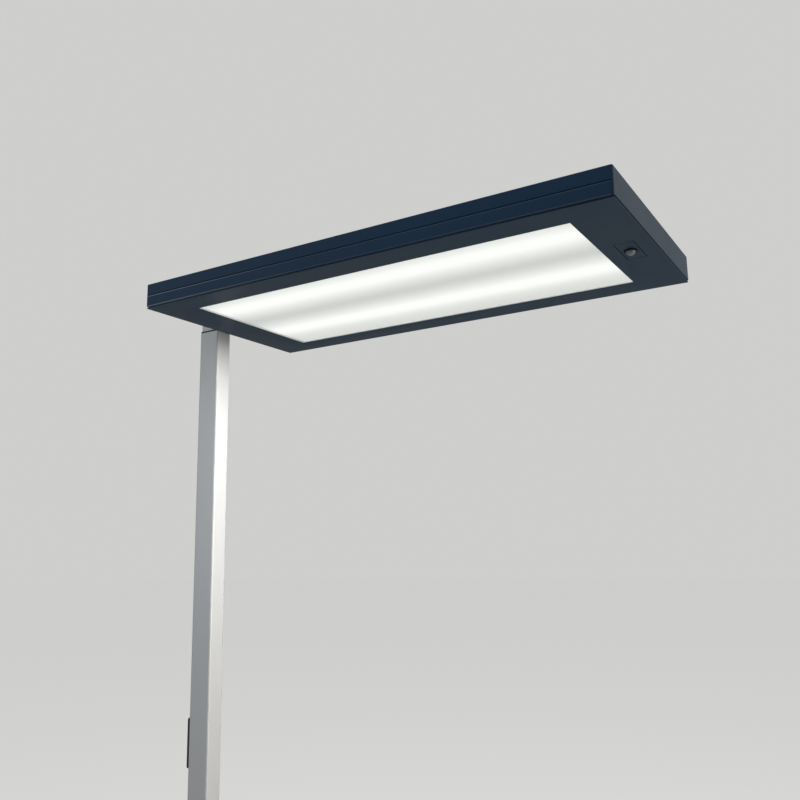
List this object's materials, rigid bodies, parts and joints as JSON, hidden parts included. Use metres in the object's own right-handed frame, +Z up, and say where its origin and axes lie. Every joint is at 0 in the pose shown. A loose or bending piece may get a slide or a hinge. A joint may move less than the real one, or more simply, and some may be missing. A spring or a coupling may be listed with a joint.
{
  "type": "office floor lamp",
  "caption": "Free-standing office lamp: a flat rectangular direct and indirect head, held at one end by a rectangular post on a flat base plate.",
  "frame": {"origin": "bottom centre of the bounding box: on the floor, midway between the back edge of the base plate and the far end of the head, in the lamp's plane of symmetry", "axes": "+X along the head from the post towards the sensor, +Z up, +Y to the left of +X"},
  "size_m": [0.8374, 0.34, 1.95],
  "materials": {
    "coat_dark": "satin dark blue-grey powder coat",
    "coat_post": "satin silver-grey powder coat",
    "coat_base": "satin silver-grey powder coat",
    "black_plastic": "fine matte black",
    "key_plastic": "matte dark grey",
    "rubber_black": "black rubber",
    "zinc": "zinc-plated steel",
    "black_steel": "blackened steel",
    "white_sheet": "white reflective coat",
    "galvanised": "galvanised sheet",
    "opal": "satin light-scattering sheet",
    "glow_sheet": "opal sheet",
    "clear": "clear acrylic",
    "lamp_glass": "white phosphor inside clear glass",
    "lamp_plastic": "white plastic",
    "brass_pin": "bare brass",
    "ballast_coat": "white coated steel case",
    "terminal_white": "pale grey plastic",
    "board_green": "circuit board",
    "lens_white": "translucent white plastic",
    "cell_dark": "dark infrared window",
    "lead_sheath": "grey lead sheath"
  },
  "bodies": {
    "lamp": {"base_plate": "coat_base", "base_glides": "rubber_black", "post_foot": "zinc", "base_screws": "zinc", "post_tube": "coat_post", "inlet_grommet": "rubber_black", "inlet_terminal": "terminal_white", "post_top_shim": "black_plastic", "head_bracket": "coat_post", "bracket_lid": "coat_post", "clamp_screws": "black_steel", "arm_screws": "black_steel", "supply_lead": "lead_sheath", "control_lead": "lead_sheath", "control_bezel": "black_plastic", "control_board": "board_green", "control_switches": "key_plastic", "side_profile_near": "coat_dark", "side_profile_far": "coat_dark", "end_cap_post": "coat_dark", "end_cap_sensor": "coat_dark", "bottom_frame": "coat_dark", "frame_nuts": "zinc", "tray_nuts": "zinc", "corner_cleats": "galvanised", "diffuser_panel": "opal", "spacer_frame": "white_sheet", "light_sheet": "glow_sheet", "sheet_clips": "galvanised", "gear_tray": "white_sheet", "ballast": "ballast_coat", "ballast_screws": "zinc", "terminal_block": "terminal_white", "side_reflector_near": "white_sheet", "side_reflector_far": "white_sheet", "lampholders": "lamp_plastic", "lamp_bases": "lamp_plastic", "lamp_pins": "brass_pin", "lamp_near": "lamp_glass", "lamp_far": "lamp_glass", "lamp_clips": "lamp_plastic", "sensor_face": "coat_dark", "lens_collar": "black_plastic", "sensor_lens": "lens_white", "light_cell": "cell_dark", "status_light": "lens_white", "sensor_box": "black_plastic", "sensor_board": "board_green", "sensor_element": "zinc", "ballast_leads": "lead_sheath", "lamp_leads": "lead_sheath", "sensor_lead": "lead_sheath"},
    "brighter_key": {"button_brighter": "key_plastic"},
    "power_key": {"button_power": "key_plastic"},
    "dimmer_key": {"button_dimmer": "key_plastic"},
    "cover": {"top_cover": "clear"}
  },
  "joints": [
    {"name": "press_brighter", "type": "slide", "parent": "lamp", "child": "brighter_key", "axis": [1, 0, 0], "range_m": [0, 0.0008], "stiffness_N_per_m": 1500},
    {"name": "press_power", "type": "slide", "parent": "lamp", "child": "power_key", "axis": [1, 0, 0], "range_m": [0, 0.0008], "stiffness_N_per_m": 1500},
    {"name": "press_dimmer", "type": "slide", "parent": "lamp", "child": "dimmer_key", "axis": [1, 0, 0], "range_m": [0, 0.0008], "stiffness_N_per_m": 1500},
    {"name": "lift_cover", "type": "slide", "parent": "lamp", "child": "cover", "axis": [0, 0, 1], "range_m": [0, 0.05]}
  ]
}
